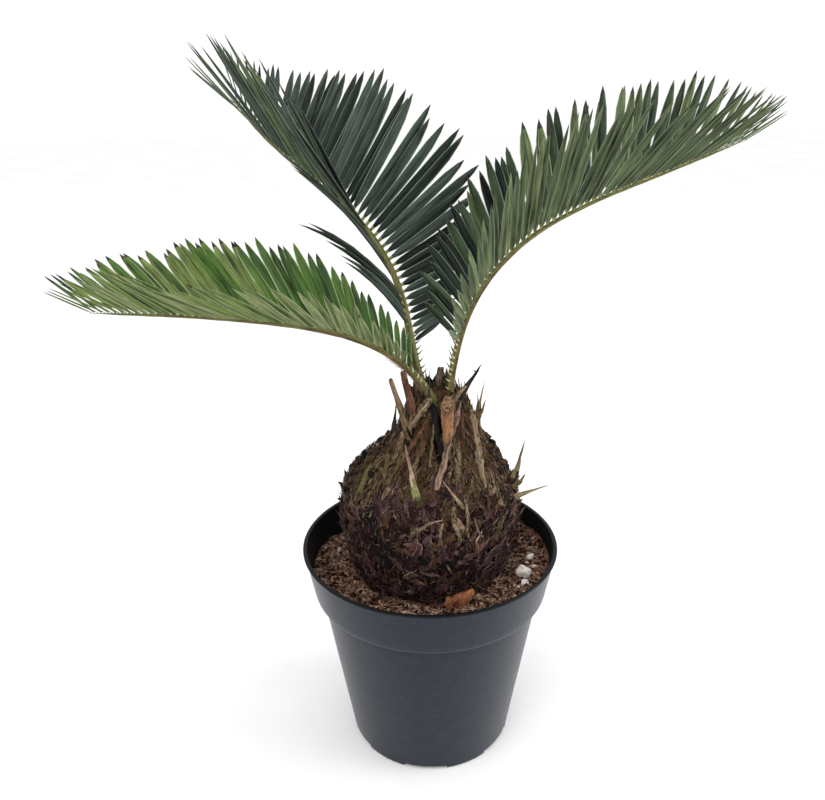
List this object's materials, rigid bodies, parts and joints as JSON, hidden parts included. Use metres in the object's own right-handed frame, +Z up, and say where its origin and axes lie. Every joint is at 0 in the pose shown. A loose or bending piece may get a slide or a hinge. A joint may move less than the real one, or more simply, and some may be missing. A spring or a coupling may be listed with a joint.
{
  "type": "potted sago palm",
  "caption": "Young sago palm with a swollen scaly trunk and arching feather-shaped fronds, rooted in soil in a round tapered nursery pot with a stepped collar.",
  "frame": {"origin": "centre of the pot's flat underside", "axes": "+Z up along the pot's axis, +X to the right and -Y towards the viewer in the picture"},
  "size_m": [0.3925, 0.2179, 0.4094],
  "materials": {
    "pot_plastic": "satin",
    "soil_peat": "rough",
    "trunk_scales": "rough",
    "leaf_blade": "satin",
    "dry_stalk": "rough",
    "bark": "rough",
    "perlite": "matte"
  },
  "bodies": {
    "root": {"pot": "pot_plastic", "soil": "soil_peat", "trunk": "trunk_scales", "frond_left_lower": "leaf_blade", "frond_left_outer": "leaf_blade", "frond_back_lower": "leaf_blade", "frond_back_outer": "leaf_blade", "frond_right_lower": "leaf_blade", "frond_right_outer": "leaf_blade", "cut_stalk_tan": "dry_stalk", "cut_stalk_red": "dry_stalk", "cut_stalk_orange": "dry_stalk", "cut_stalk_brown": "dry_stalk", "cut_stalk_back_left": "dry_stalk", "cut_stalk_back_right": "dry_stalk", "scale_right_broad": "dry_stalk", "spike_left_dark": "dry_stalk", "spike_crown_black": "dry_stalk", "spike_right_long": "dry_stalk", "spike_right_thin": "dry_stalk", "spike_front_green": "dry_stalk", "spike_front_pale": "dry_stalk", "spike_side_up": "dry_stalk", "spike_side_flat": "dry_stalk", "spike_back_up": "dry_stalk", "bark_chip": "bark", "perlite_large": "perlite", "perlite_small_1": "perlite", "perlite_small_2": "perlite"}
  },
  "joints": []
}
